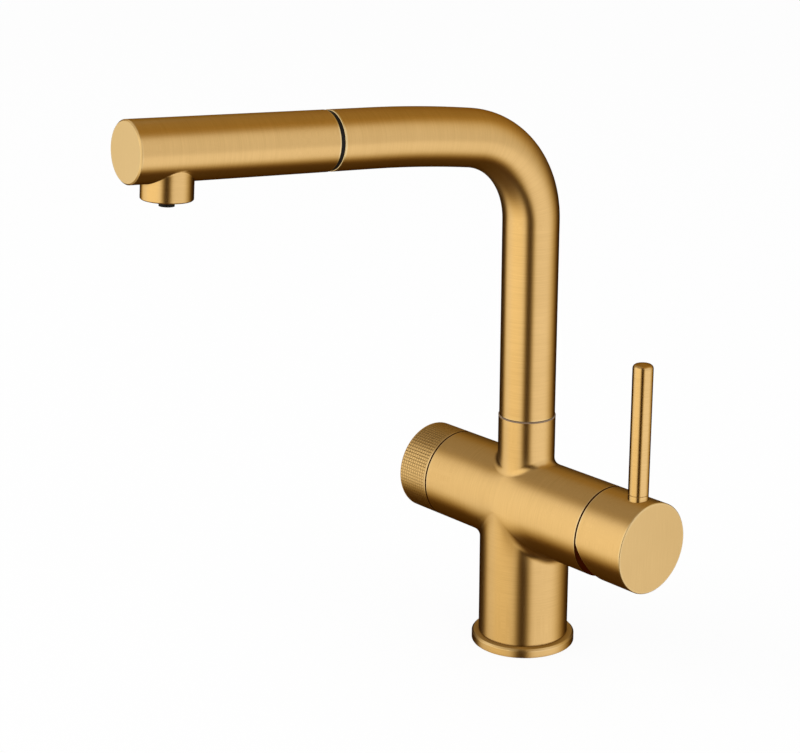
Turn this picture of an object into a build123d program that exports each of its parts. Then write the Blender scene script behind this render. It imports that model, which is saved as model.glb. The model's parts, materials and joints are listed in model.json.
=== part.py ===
"""Kitchen mixer tap with a pull-out spray and a separate knob for filtered water.

Millimetres.  The origin is the middle of the tap's foot, on the deck.  +Z is up,
-Y points to the person at the sink, the mixer handle is at +X and the knurled
filtered-water knob at -X.
"""
from build123d import *
import math
import os

# ---- play between parts (radial, unless said otherwise) ----
running_fit = 0.05       # parts that turn or slide in each other
seat_fit = 0.02          # parts that are screwed, pressed or glued home
seal_fit = 0.1           # soft seals in their seats
end_gap = 0.1            # along an axis, between a moving part and a fixed one

# ---- body casting ----
body_d = 45.8            # cross-body, knob and handle share this diameter
column_step = 0.05       # the column is turned this much smaller, radially
cross_z = 76.0           # height of the cross-body's axis
mixer_arm = 56.8         # from the column's axis to the mixer end of the casting
filter_arm = 50.2        # from the column's axis to the filter end of the casting
neck_d = 28.7
neck_top = 121.75
neck_blend = 4.0         # fillet between neck and cross-body
column_blend = 6.0       # fillet between column and cross-body
column_wall = 3.9
core_z = 50.0            # top of that hollow, where the solid core starts
arm_wall = 3.9           # at the mouths of both arms
edge_break = 0.3         # on the ends of the arms, the neck, the knob and the handle

# ---- foot ----
base_ring_lip = 3.5      # how far the ring reaches past the column
base_ring_h = 4.6
base_ring_chamfer = 0.9
spigot_inset = 2.2       # the casting's foot, inside the base ring, is this much smaller, radially
spigot_lift = 0.3        # the spigot stays this far above the deck
foot_groove = 0.5        # shadow groove round the column's foot
gasket_inset = 1.6       # from the base ring's outer edge
gasket_w = 2.4
gasket_h = 2.0

# ---- inlet block in the foot ----
inlet_block_h = 21.0
port_angles = {"mixed": 0.0, "hot": 47.5, "cold": -47.5, "filtered_in": 155.0, "filtered_out": 205.0}
port_d = 8.9             # core of the M10 x 1 hose threads
port_depth = 12.0
waterway_d = 5.0
stud_angles = (90.0, 270.0)
stud_hole_d = 6.8        # core of the M8 fixing studs' threads
stud_depth = 15.0
supply_d = 8.0           # copper tubes from the inlet block up to the core
supply_wall = 0.8
socket_depth = 3.0
hot_drop = 6.0           # hot and cold enter the cartridge this far below its axis
mixed_drop = 10.0        # mixed water leaves it this far below its axis

# ---- spout ----
tube_d = 28.0
tube_wall = 1.5
washer_h = 0.6           # swivel washer between neck and spout
washer_lip = 0.05        # it stands proud of the neck by this much
bend_start = 222.2       # height at which the riser starts to bend
bend_r = 45.5
bend_turn = 81.2         # degrees of the main bend
ease_r = 640.0           # the long gentle bend after it
spout_rise = 3.8         # degrees above level, at the spray
spout_straight = 23.2    # from the gentle bend to the dock
rest_swing = -6.3        # degrees that the spout is turned from straight ahead
swivel_depth = 25.0      # depth of the neck's bore
swivel_bore_d = 24.0
insert_grip = 12.0       # length of the swivel insert in the spout tube
keeper_d = 4.2           # grub screw that keeps the spout in the neck
keeper_z = 110.0
keeper_reach = 1.2       # how far its tip stands in the insert's groove
keeper_groove = 1.6
swivel_ring_w = 2.2
swivel_ring_depth = 1.6
swivel_ring_offset = 7.0  # the two rings sit this far above and below the keeper

# ---- hose ----
hose_d = 13.0
hose_bore_d = 9.9
hose_way_d = 17.0        # passage for the hose through casting and insert
hose_way_block_d = 14.5  # and through the inlet block
hose_lift = 24.0         # height of the hose's lower end
filtered_hose_d = 5.0
filtered_hose_wall = 0.8
tail_d = 14.2

# ---- dock and spray ----
dock_gap = 2.2           # black ring that shows between tube and spray
dock_ring_d = 27.3
dock_depth = 18.0
dock_bore_d = 18.6
spray_length = 100.6
spray_wall = 1.7
spray_end_wall = 2.6
spray_chamfer = 0.7
nozzle_d = 23.4
nozzle_from_end = 20.5
nozzle_drop = 7.5        # how far the nozzle stands below the spray's shell
nozzle_wall = 2.1
nozzle_chamfer = 0.5
spigot_length = 12.0     # of the spray's core, in the dock
connector_d = 16.0
connector_thread_d = 13.0
connector_bore_d = 8.0
connector_grip = 10.0    # length screwed into the spray's core
connector_collar = 2.9
barb_length = 15.0
ferrule_wall = 0.75
core_bore_d = 9.0
outlet_d = 7.0           # filtered-water outlet in the middle of the nozzle
outlet_bore_d = 3.8
outlet_drop = 2.9        # it stands this far below the nozzle's rim
aerator_wall = 1.0
aerator_h = 5.7
aerator_recess = 0.6
grid_h = 2.5
grid_recess = 2.8
grid_hole_d = 1.7
grid_rings = {5.0: 12, 7.0: 18}   # radius of each ring of holes, and how many
aerator_seal_h = 1.1

# ---- mixer cartridge, measured out along +X from the column's axis ----
cartridge_floor = 26.0
cartridge_d = 34.8
cartridge_seal_h = 1.0
cartridge_base_h = 4.0
fixed_disc_h = 4.0
fixed_disc_d = 28.8
moving_disc_h = 3.5
moving_disc_d = 20.8
carrier_h = 5.4
cartridge_top = 50.0
cartridge_wall_top = 3.2
disc_room_d = 26.6
turret_d = 21.0
turret_flange_d = 26.2
turret_flange_h = 2.4
turret_top = 60.5
pivot_x = mixer_arm      # the handle tilts about a pin in the plane of the seam
pivot_pin_d = 3.0
pivot_pin_length = 19.0
stem_side = 7.8
stem_top = 74.5
toe_reach = 14.5         # from the pin to the toe that pushes the disc
toe_d = 5.0
toe_length = 6.4
toe_neck_d = 3.4
handle_tilt_max = 20.0   # degrees
nut_h = 5.5
nut_bore_d = 22.0
nut_notch = 4.0
shroud_h = 1.2

# ---- handle ----
seam = 0.6               # between casting and handle, and between casting and knob
handle_length = 29.0
handle_wall = 2.9
handle_end_wall = 3.5
handle_relief = 23.0     # degrees; slant of the lower back edge, which lets the handle tilt
handle_chamfer = 0.35
hub_d = 18.0
hub_low = 65.5
hub_socket_top = 75.0
lever_d = 10.0
lever_x = 76.4
lever_top = 166.5
lever_seat = 1.0         # depth of the flat seat sunk in the handle
lever_round = 1.8
lever_groove_z = 2.3     # above the top of the handle
lever_groove = 0.3
lever_stud_d = 6.0
lever_stud_low = 4.5     # its end, above the handle's axis
lever_stud_grip = 9.0    # length screwed into the lever
grub_d = 4.0
grub_x = 70.0
hex_key = 2.0

# ---- filter valve, measured out along -X from the column's axis ----
filter_floor = 24.0
valve_d = 25.0
valve_seal_h = 1.0
valve_disc_d = 19.0
valve_disc_h = 3.0
spindle_flange_h = 2.5
spindle_flange_d = 18.6
spindle_d = 10.0
spline_d = 8.0
spline_low = 50.5
spindle_top = 64.0
headwork_top = 46.5
hex_low = 40.0
hex_across = 27.0
circlip_d = 13.0
circlip_h = 1.0

# ---- knob ----
knob_length = 19.7
knob_wall = 3.1
knob_end_wall = 3.5
knob_chamfer = 0.4
knob_hub_d = 16.0
knob_hub_low = 52.0
knob_screw_x = 58.0
knurl_count = 88         # straight grooves round the knob
knurl_rows = 10          # rows of points along it
knurl_depth = 0.45
knurl_margin = 1.3       # plain rim at each end of the knurl

FOOT = (Align.CENTER, Align.CENTER, Align.MIN)
same_place = 1e-4        # two lengths this close are the same

body_r = body_d / 2
cavity_d = body_d - 2 * column_wall
port_circle_r = (cavity_d + hose_way_block_d) / 4   # midway between the hose way and the wall
arm_mouth_d = body_d - 2 * arm_wall
base_ring_d = body_d + 2 * base_ring_lip
spigot_d = body_d - 2 * spigot_inset
gasket_outer_d = base_ring_d - 2 * gasket_inset
gasket_inner_d = gasket_outer_d - 2 * gasket_w
tube_bore_r = tube_d / 2 - tube_wall
spout_foot = neck_top + washer_h + running_fit

# ---- frames ----
# On both arms the local Z axis runs outwards from the column's axis and local Y is up.
mixer_side = Plane(origin=(0, 0, cross_z), x_dir=(0, 1, 0), z_dir=(1, 0, 0)).location
filter_side = Plane(origin=(0, 0, cross_z), x_dir=(0, -1, 0), z_dir=(-1, 0, 0)).location

# The spout is drawn flat, with X ahead and Y up, and then stood up at its rest angle.
swing = math.radians(rest_swing)
spout_stand = Plane(
    origin=(0, 0, 0),
    x_dir=(math.sin(swing), -math.cos(swing), 0),
    z_dir=(-math.cos(swing), -math.sin(swing), 0),
).location


def spout_line(low, reach):
    """Centre line of the spout: riser, main bend, gentle bend and a straight of length reach."""
    ease_turn = 90.0 - spout_rise - bend_turn
    riser = Line((0, low), (0, bend_start))
    main_bend = JernArc(riser @ 1, riser % 1, bend_r, -bend_turn)
    gentle_bend = JernArc(main_bend @ 1, main_bend % 1, ease_r, -ease_turn)
    straight = Line(gentle_bend @ 1, (gentle_bend @ 1) + (gentle_bend % 1) * reach)
    return riser + main_bend + gentle_bend + straight


def along_spout(diameter, low, reach):
    """Round bar along the spout's centre line, in its rest place."""
    section = Plane(origin=(0, low, 0), z_dir=(0, 1, 0)) * Circle(diameter / 2)
    return spout_stand * sweep(section, path=spout_line(low, reach))


spout_end = spout_line(0, spout_straight)
# In the spray's frame local Z runs out along the spray and local Y is its upper side.
spray_side = spout_stand * Plane(origin=spout_end @ 1, x_dir=(0, 0, -1), z_dir=spout_end % 1).location
nozzle_at = dock_gap + spray_length - nozzle_from_end


def bar(diameter, low, high):
    """Round bar along local Z."""
    return Pos(0, 0, low) * Cylinder(diameter / 2, high - low, align=FOOT)


def tube(outer_d, inner_d, low, high):
    """Round tube along local Z."""
    return bar(outer_d, low, high) - bar(inner_d, low, high)


def upright(diameter, low, high, at):
    """Round bar along local Y, from low to high, at a distance along local Z."""
    return Pos(0, low, at) * Rot(-90, 0, 0) * Cylinder(diameter / 2, high - low, align=FOOT)


def around(angle, radius=port_circle_r):
    """Place on a circle about the vertical axis."""
    turn = math.radians(angle)
    return Pos(radius * math.cos(turn), radius * math.sin(turn), 0)


def hex_socket(low, high, at):
    """Hexagonal recess for a key, along local Y."""
    return Pos(0, low, at) * Rot(-90, 0, 0) * extrude(RegularPolygon(hex_key / 2, 6), high - low)


def rim(solid, height, radius):
    """The circular edges of one radius at one local height."""
    return [
        edge for edge in solid.edges().filter_by(GeomType.CIRCLE)
        if abs(edge.arc_center.Z - height) < same_place and abs(edge.radius - radius) < same_place
    ]


# ---------------------------------------------------------------- body and foot
def blend_crotch(casting, above, radius):
    """Fillet the saddle edges above or below the cross-body's axis."""
    saddles = [
        edge for edge in casting.edges()
        if edge.geom_type not in (GeomType.LINE, GeomType.CIRCLE)
        and (edge.center().Z > cross_z) == above
    ]
    return fillet(saddles, radius)


def mixer_waterways():
    """Drillings from the supply tubes to the floor of the cartridge pocket."""
    ways = []
    for name, drop in (("hot", hot_drop), ("cold", hot_drop), ("mixed", mixed_drop)):
        place = around(port_angles[name])
        x, y, _ = place.position
        ways.append(place * bar(waterway_d, core_z, cross_z - drop + waterway_d / 2))
        ways.append(mixer_side * Pos(y, -drop, 0) * bar(waterway_d, x, cartridge_floor))
    return ways


def filter_waterways():
    """Drillings from the supply tubes to the floor of the filter valve's pocket."""
    ways = []
    for name in ("filtered_in", "filtered_out"):
        place = around(port_angles[name])
        x, y, _ = place.position
        ways.append(place * bar(waterway_d, core_z, cross_z + waterway_d / 2))
        ways.append(filter_side * Pos(-y, 0, 0) * bar(waterway_d, -x, filter_floor))
    return ways


def make_tap_body():
    column_d = body_d - 2 * column_step
    column = bar(column_d, base_ring_h, cross_z)
    arms = bar(body_d, -filter_arm, mixer_arm)
    arms = chamfer(rim(arms, mixer_arm, body_r) + rim(arms, -filter_arm, body_r), edge_break)
    neck = bar(neck_d, cross_z, neck_top)
    neck = chamfer(rim(neck, neck_top, neck_d / 2), edge_break)
    casting = blend_crotch(column + mixer_side * arms, False, column_blend)
    casting = blend_crotch(casting + neck, True, neck_blend)
    casting += bar(spigot_d, spigot_lift, base_ring_h)
    casting -= tube(body_d, column_d - 2 * foot_groove, base_ring_h, base_ring_h + foot_groove)
    casting -= bar(cavity_d, 0, core_z)
    casting -= bar(hose_way_d, core_z, neck_top)
    casting -= bar(swivel_bore_d, neck_top - swivel_depth, neck_top)
    casting -= mixer_side * bar(cartridge_d + 4 * running_fit, cartridge_floor, mixer_arm)
    casting -= mixer_side * bar(arm_mouth_d, cartridge_top, mixer_arm)
    casting -= filter_side * bar(valve_d, filter_floor, filter_arm)
    casting -= filter_side * bar(arm_mouth_d, hex_low, filter_arm)
    for angle in port_angles.values():
        casting -= around(angle) * bar(supply_d + 2 * running_fit, core_z, core_z + socket_depth)
    casting -= mixer_waterways() + filter_waterways()
    casting -= Pos(0, 0, keeper_z) * Rot(-90, 0, 0) * bar(keeper_d, 0, neck_d)
    return casting


def make_base_ring():
    ring = tube(base_ring_d, spigot_d + 2 * running_fit, 0, base_ring_h)
    ring = chamfer(rim(ring, base_ring_h, base_ring_d / 2), base_ring_chamfer)
    return ring - tube(gasket_outer_d, gasket_inner_d, 0, gasket_h)


def make_base_gasket():
    return tube(gasket_outer_d - 2 * seat_fit, gasket_inner_d + 2 * seat_fit, 0, gasket_h)


def make_inlet_block():
    block = bar(cavity_d - 2 * seat_fit, 0, inlet_block_h) - bar(hose_way_block_d, 0, inlet_block_h)
    socket_low = inlet_block_h - socket_depth
    for angle in port_angles.values():
        block -= around(angle) * bar(port_d, 0, port_depth)
        block -= around(angle) * bar(waterway_d, port_depth, socket_low)
        block -= around(angle) * bar(supply_d + 2 * running_fit, socket_low, inlet_block_h)
    for angle in stud_angles:
        block -= around(angle) * bar(stud_hole_d, 0, stud_depth)
    return block


def make_supply_tube(name):
    pipe = tube(supply_d, supply_d - 2 * supply_wall, inlet_block_h - socket_depth, core_z + socket_depth)
    return around(port_angles[name]) * pipe


# ---------------------------------------------------------------- spout
def make_swivel_washer():
    return tube(neck_d + 2 * washer_lip, swivel_bore_d + 2 * seal_fit, neck_top, neck_top + washer_h)


def swivel_ring_heights():
    return keeper_z - swivel_ring_offset, keeper_z + swivel_ring_offset


def make_swivel_insert():
    low = neck_top - swivel_depth + end_gap
    insert = bar(swivel_bore_d - 2 * running_fit, low, spout_foot)
    insert += bar(2 * (tube_bore_r - seat_fit), spout_foot, spout_foot + insert_grip)
    insert -= bar(hose_way_d, low, spout_foot + insert_grip)
    groove_d = swivel_bore_d - 2 * swivel_ring_depth
    for height in swivel_ring_heights():
        half = swivel_ring_w / 2 + seal_fit
        insert -= tube(swivel_bore_d, groove_d, height - half, height + half)
    half = keeper_d / 2 + seal_fit
    insert -= tube(swivel_bore_d, swivel_bore_d - 2 * keeper_groove, keeper_z - half, keeper_z + half)
    return insert


def make_swivel_rings():
    outer_d = swivel_bore_d - 2 * seat_fit
    inner_d = swivel_bore_d - 2 * swivel_ring_depth + 2 * seat_fit
    half = swivel_ring_w / 2
    return Compound(children=[tube(outer_d, inner_d, z - half, z + half) for z in swivel_ring_heights()])


def make_keeper_screw():
    tip = swivel_bore_d / 2 - keeper_reach
    head = neck_d / 2 - 0.5 * keeper_reach
    screw = Rot(-90, 0, 0) * bar(keeper_d - 2 * seat_fit, tip, head)
    return Pos(0, 0, keeper_z) * (screw - hex_socket(head - hex_key, head, 0))


def make_spout_tube():
    return along_spout(tube_d, spout_foot, spout_straight) - along_spout(
        2 * tube_bore_r, spout_foot, spout_straight)


def make_dock_collar():
    sleeve = bar(2 * (tube_bore_r - seat_fit), -dock_depth, 0)
    ring = bar(dock_ring_d, 0, dock_gap - seat_fit)
    return spray_side * (sleeve + ring - bar(dock_bore_d, -dock_depth, dock_gap))


# ---------------------------------------------------------------- hose
connector_low = -(spigot_length + connector_collar)


def hose_reach():
    return spout_straight + connector_low - seat_fit


def make_pull_hose():
    return along_spout(hose_d, hose_lift, hose_reach()) - along_spout(hose_bore_d, hose_lift, hose_reach())


def make_filtered_hose():
    inner_d = filtered_hose_d - 2 * filtered_hose_wall
    low = hose_lift - barb_length
    reach = spout_straight - socket_depth
    return along_spout(filtered_hose_d, low, reach) - along_spout(inner_d, low, reach)


def make_hose_tail():
    low = hose_lift - barb_length
    tail = bar(tail_d, spigot_lift, hose_lift - seat_fit) + bar(
        hose_bore_d - 2 * running_fit, low, hose_lift + barb_length)
    return tail - bar(connector_bore_d, spigot_lift, hose_lift + barb_length)


def make_hose_connector():
    connector = bar(connector_d, connector_low, -spigot_length - seat_fit)
    connector += bar(connector_thread_d, -spigot_length - seat_fit, connector_grip - spigot_length)
    connector += bar(hose_bore_d - 2 * running_fit, connector_low - barb_length, connector_low)
    bore = bar(connector_bore_d, connector_low - barb_length, connector_grip - spigot_length)
    return spray_side * (connector - bore)


def make_hose_ferrule():
    inner_d = hose_d + 2 * running_fit
    ferrule = tube(inner_d + 2 * ferrule_wall, inner_d, connector_low - barb_length, connector_low - seat_fit)
    return spray_side * ferrule


# ---------------------------------------------------------------- spray
nozzle_low = -(tube_d / 2 + nozzle_drop)
nozzle_bore_d = nozzle_d - 2 * nozzle_wall
aerator_low = nozzle_low + aerator_recess
aerator_top = aerator_low + aerator_h
aerator_d = nozzle_bore_d - 4 * running_fit
stub_low = aerator_top + aerator_seal_h


def make_spray_shell():
    far_end = dock_gap + spray_length
    shell = bar(tube_d, dock_gap, far_end)
    shell = chamfer(rim(shell, far_end, tube_d / 2), spray_chamfer)
    nozzle = upright(nozzle_d, nozzle_low, 0, nozzle_at)
    lip = [edge for edge in nozzle.edges() if edge.center().Y < nozzle_low + same_place]
    shell += chamfer(lip, nozzle_chamfer)
    shell -= bar(tube_d - 2 * spray_wall, dock_gap, far_end - spray_end_wall)
    return spray_side * (shell - upright(nozzle_bore_d, nozzle_low, 0, nozzle_at))


def make_spray_core():
    low = -spigot_length
    fit_d = tube_d - 2 * spray_wall - 4 * running_fit
    core = bar(dock_bore_d - 4 * running_fit, low, dock_gap + seal_fit)
    core += bar(fit_d, dock_gap + seal_fit, dock_gap + spray_length - spray_end_wall - seal_fit)
    core += upright(aerator_d, stub_low, 0, nozzle_at)
    core -= bar(core_bore_d, low, nozzle_at)
    core -= bar(connector_thread_d + 2 * seat_fit, low, connector_grip - spigot_length + seal_fit)
    core -= upright(aerator_d - 4 * aerator_wall, stub_low, -core_bore_d, nozzle_at)
    core -= upright(outlet_d + 2 * seat_fit, -core_bore_d, outlet_d / 2, nozzle_at)
    return spray_side * core


def make_head_tube():
    inner_d = filtered_hose_d - 2 * filtered_hose_wall
    return spray_side * tube(filtered_hose_d, inner_d, -socket_depth + seal_fit, nozzle_at - outlet_bore_d / 2)


def make_filtered_outlet():
    low = nozzle_low - outlet_drop
    outlet = upright(outlet_d, low, outlet_d / 2 - seat_fit, nozzle_at)
    outlet -= upright(outlet_bore_d, low, 0, nozzle_at)
    socket = bar(filtered_hose_d + 2 * seat_fit, nozzle_at - outlet_d, nozzle_at)
    return spray_side * (outlet - socket)


def make_aerator_housing():
    housing = upright(aerator_d, aerator_low, aerator_top, nozzle_at)
    return spray_side * (housing - upright(aerator_d - 2 * aerator_wall, aerator_low, aerator_top, nozzle_at))


def make_aerator_grid():
    low = nozzle_low + grid_recess
    outer_d = aerator_d - 2 * aerator_wall - 2 * seat_fit
    grid = upright(outer_d, low, low + grid_h, nozzle_at)
    grid -= upright(outlet_d + 2 * seat_fit, low, low + grid_h, nozzle_at)
    holes = Sketch()
    for radius, count in grid_rings.items():
        holes += PolarLocations(radius, count) * RegularPolygon(grid_hole_d / 2, 6)
    grid -= Pos(0, low, nozzle_at) * Rot(-90, 0, 0) * extrude(holes, grid_h)
    return spray_side * grid


def make_aerator_seal():
    outer = upright(aerator_d, aerator_top, stub_low, nozzle_at)
    return spray_side * (outer - upright(aerator_d - 4 * aerator_wall, aerator_top, stub_low, nozzle_at))


# ---------------------------------------------------------------- mixer cartridge
seal_top = cartridge_floor + cartridge_seal_h
base_top = seal_top + cartridge_base_h
fixed_top = base_top + fixed_disc_h
moving_top = fixed_top + end_gap + moving_disc_h
carrier_top = moving_top + carrier_h
toe_x = pivot_x - toe_reach
disc_travel = toe_reach * math.radians(handle_tilt_max)


def cartridge_ports(low, high):
    """The three water ports, as bars through a part of the cartridge."""
    ports = []
    for name, drop in (("hot", hot_drop), ("cold", hot_drop), ("mixed", mixed_drop)):
        y = around(port_angles[name]).position.Y
        ports.append(Pos(y, -drop, 0) * bar(waterway_d, low, high))
    return ports


def make_cartridge_seal():
    return mixer_side * (bar(cartridge_d, cartridge_floor, seal_top) - cartridge_ports(cartridge_floor, seal_top))


def make_cartridge_base():
    return mixer_side * (bar(cartridge_d, seal_top, base_top) - cartridge_ports(seal_top, base_top))


def make_fixed_disc():
    return mixer_side * (bar(fixed_disc_d, base_top, fixed_top) - cartridge_ports(base_top, fixed_top))


def make_moving_disc():
    low = fixed_top + end_gap
    disc = bar(moving_disc_d, low, moving_top)
    disc -= Pos(0, -moving_disc_d / 6, 0) * bar(moving_disc_d / 2, low, low + moving_disc_h / 2)
    return mixer_side * Pos(0, -disc_travel / 2, 0) * disc


def make_disc_carrier():
    carrier = Pos(0, -disc_travel / 2, 0) * bar(moving_disc_d, moving_top, carrier_top)
    slot_low = toe_x - toe_d / 2 - 2 * seal_fit
    slot = Box(toe_length + 4 * seal_fit, toe_d + 4 * seal_fit, carrier_top - slot_low, align=FOOT)
    return mixer_side * (carrier - Pos(0, 0, slot_low) * slot)


def make_cartridge_housing():
    housing = bar(cartridge_d, base_top, cartridge_top)
    housing -= bar(fixed_disc_d + 2 * running_fit, base_top, fixed_top)
    housing -= bar(disc_room_d, fixed_top, cartridge_top - cartridge_wall_top)
    return mixer_side * (housing - bar(turret_d + 2 * running_fit, fixed_top, cartridge_top))


def make_turret():
    flange_top = cartridge_top - cartridge_wall_top - end_gap
    low = flange_top - turret_flange_h
    turret = bar(turret_flange_d, low, flange_top) + bar(turret_d, low, turret_top)
    swing_room = toe_reach * math.sin(math.radians(handle_tilt_max)) + toe_d / 2 + 2 * seal_fit
    slot = Box(stem_side + 2 * running_fit, 2 * swing_room, turret_top - low, align=FOOT)
    turret -= Pos(0, 0, low) * slot
    return mixer_side * (turret - pivot_bar(pivot_pin_d, turret_d))


def pivot_bar(diameter, length):
    """Round bar across the cartridge, on the handle's tilting axis."""
    return Pos(0, 0, pivot_x) * Rot(0, 90, 0) * Cylinder(diameter / 2, length)


def make_pivot_pin():
    return mixer_side * pivot_bar(pivot_pin_d - 2 * seat_fit, pivot_pin_length)


def make_stem():
    shoulder = pivot_x - stem_side
    stem = Pos(0, 0, shoulder) * Box(stem_side, stem_side, stem_top - shoulder, align=FOOT)
    stem += bar(toe_neck_d, toe_x, shoulder)
    stem += Pos(0, 0, toe_x) * Rot(0, 90, 0) * Cylinder(toe_d / 2, toe_length)
    return mixer_side * (stem - pivot_bar(pivot_pin_d + 2 * running_fit, 2 * stem_side))


def make_retaining_nut():
    nut = tube(arm_mouth_d - 2 * seat_fit, nut_bore_d, cartridge_top, cartridge_top + nut_h)
    notch = Pos(0, 0, cartridge_top + nut_h / 2) * Box(arm_mouth_d, nut_notch, nut_h / 2, align=FOOT)
    return mixer_side * (nut - notch - Rot(0, 0, 90) * notch)


def make_cartridge_shroud():
    low = cartridge_top + nut_h + seat_fit
    shroud = tube(arm_mouth_d - 2 * seal_fit, nut_bore_d, low, low + shroud_h)
    return mixer_side * chamfer(rim(shroud, low + shroud_h, arm_mouth_d / 2 - seal_fit), shroud_h / 2)


# ---------------------------------------------------------------- handle
handle_low = mixer_arm + seam
handle_high = handle_low + handle_length


def make_handle_cap():
    cap = bar(body_d, handle_low, handle_high)
    cap = chamfer(rim(cap, handle_high, body_r), handle_chamfer)
    cap = chamfer(rim(cap, handle_low, body_r), edge_break)
    cap -= bar(body_d - 2 * handle_wall, handle_low, handle_high - handle_end_wall)
    cap += bar(hub_d, hub_low, handle_high - handle_end_wall)
    socket = stem_side + 2 * seat_fit
    cap -= Pos(0, 0, hub_low) * Box(socket, socket, hub_socket_top - hub_low, align=FOOT)
    cap -= upright(lever_stud_d, 0, body_r, lever_x)
    cap -= upright(lever_d + 2 * seat_fit, body_r - lever_seat, body_d, lever_x)
    cap -= upright(grub_d, -body_r, 0, grub_x)
    relief = math.tan(math.radians(handle_relief))
    with BuildSketch(Plane.YZ) as slant:
        with BuildLine():
            Polyline(
                (0, handle_low - seam), (0, handle_low), (-body_d, handle_low + relief * body_d),
                (-body_d, handle_low - seam), close=True)
        make_face()
    return mixer_side * (cap - extrude(slant.sketch, body_r, both=True))


def make_lever():
    low = body_r - lever_seat
    high = lever_top - cross_z
    lever = bar(lever_d, low, high)
    lever = fillet(rim(lever, high, lever_d / 2), lever_round)
    groove_at = body_r + lever_groove_z
    lever -= tube(lever_d, lever_d - 2 * lever_groove, groove_at, groove_at + lever_groove)
    lever -= bar(lever_stud_d, low, low + lever_stud_grip + end_gap)
    return Pos(lever_x, 0, cross_z) * lever


def make_lever_stud():
    stud = bar(lever_stud_d - 2 * seat_fit, lever_stud_low, body_r - lever_seat + lever_stud_grip)
    return Pos(lever_x, 0, cross_z) * stud


def make_handle_screw():
    low = -hub_d / 2
    high = -stem_side / 2 - 2 * seat_fit
    return mixer_side * (upright(grub_d - 2 * seat_fit, low, high, grub_x) - hex_socket(low, low + hex_key, grub_x))


# ---------------------------------------------------------------- filter valve and knob
valve_seal_top = filter_floor + valve_seal_h
valve_fixed_top = valve_seal_top + valve_disc_h
valve_turning_top = valve_fixed_top + end_gap + valve_disc_h
spindle_flange_top = valve_turning_top + end_gap + spindle_flange_h


def valve_ports(low, high):
    """The filtered water's way in and out, as bars through a part of the valve."""
    offset = abs(around(port_angles["filtered_in"]).position.Y)
    return [Pos(side * offset, 0, 0) * bar(waterway_d, low, high) for side in (-1, 1)]


def make_valve_seal():
    seal = bar(valve_d - 2 * seal_fit, filter_floor, valve_seal_top)
    return filter_side * (seal - valve_ports(filter_floor, valve_seal_top))


def make_valve_fixed_disc():
    disc = bar(valve_disc_d, valve_seal_top, valve_fixed_top)
    return filter_side * (disc - valve_ports(valve_seal_top, valve_fixed_top))


def make_valve_turning_disc():
    """Its recess joins the two ports when it is turned a quarter from rest."""
    low = valve_fixed_top + end_gap
    offset = abs(around(port_angles["filtered_in"]).position.Y)
    disc = bar(valve_disc_d, low, valve_turning_top)
    recess = Pos(0, 0, low) * extrude(Rot(0, 0, 90) * SlotCenterToCenter(2 * offset, waterway_d), valve_disc_h / 2)
    return filter_side * (disc - recess)


def make_valve_spindle():
    low = valve_turning_top + seat_fit
    spindle = bar(spindle_flange_d, low, spindle_flange_top)
    spindle += bar(spindle_d, spindle_flange_top, spline_low)
    spindle += bar(spline_d, spline_low, spindle_top)
    groove_low = headwork_top + end_gap
    return filter_side * (spindle - tube(spindle_d, spline_d, groove_low, groove_low + circlip_h + end_gap))


def make_valve_headwork():
    headwork = bar(valve_d - 2 * seat_fit, valve_seal_top, hex_low)
    headwork += Pos(0, 0, hex_low) * extrude(
        RegularPolygon(hex_across / 2, 6, major_radius=False), headwork_top - hex_low)
    headwork -= bar(valve_disc_d + 2 * running_fit, valve_seal_top, spindle_flange_top + end_gap)
    return filter_side * (headwork - bar(spindle_d + 2 * running_fit, valve_seal_top, headwork_top))


def make_valve_circlip():
    low = headwork_top + end_gap
    clip = tube(circlip_d, spline_d + 2 * seat_fit, low, low + circlip_h)
    mouth = Pos(0, circlip_d / 2, low) * Box(spline_d * 0.75, circlip_d, circlip_h, align=FOOT)
    return filter_side * (clip - mouth)


knob_low = filter_arm + seam
knob_high = knob_low + knob_length


def knurl_band():
    """Straight V grooves along the knob, cut from a ring that just covers it."""
    step = 2 * math.pi / knurl_count
    points = []
    for tooth in range(knurl_count):
        for radius, turn in ((body_r, tooth * step), (body_r - knurl_depth, (tooth + 0.5) * step)):
            points.append((radius * math.cos(turn), radius * math.sin(turn)))
    with BuildSketch() as ring:
        Circle(body_r + knurl_depth)
        with BuildLine():
            Polyline(*points, close=True)
        make_face(mode=Mode.SUBTRACT)
    low = knob_low + knurl_margin
    return Pos(0, 0, low) * extrude(ring.sketch, knob_high - knurl_margin - low)


def knurl_rings():
    """V grooves that run round the knob and cross the straight ones."""
    pitch = (knob_length - 2 * knurl_margin) / knurl_rows
    with BuildSketch(Plane.XZ) as groove:
        with BuildLine():
            Polyline(
                (body_r + knurl_depth, -pitch), (body_r - knurl_depth, 0), (body_r + knurl_depth, pitch), close=True)
        make_face()
    ring = revolve(groove.sketch, Axis.Z)
    return [Pos(0, 0, knob_low + knurl_margin + row * pitch) * ring for row in range(1, knurl_rows)]


def make_filter_knob():
    knob = bar(body_d, knob_low, knob_high)
    knob = chamfer(rim(knob, knob_high, body_r), knob_chamfer)
    knob = chamfer(rim(knob, knob_low, body_r), edge_break)
    knob -= knurl_band()
    knob -= knurl_rings()
    knob -= bar(body_d - 2 * knob_wall, knob_low, knob_high - knob_end_wall)
    knob += bar(knob_hub_d, knob_hub_low, knob_high - knob_end_wall)
    knob -= bar(spline_d + 2 * seat_fit, knob_hub_low, spindle_top + end_gap)
    return filter_side * (knob - upright(grub_d, -body_r, 0, knob_screw_x))


def make_knob_screw():
    low = -knob_hub_d / 2
    high = -spline_d / 2 - 2 * seat_fit
    screw = upright(grub_d - 2 * seat_fit, low, high, knob_screw_x)
    return filter_side * (screw - hex_socket(low, low + hex_key, knob_screw_x))


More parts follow.
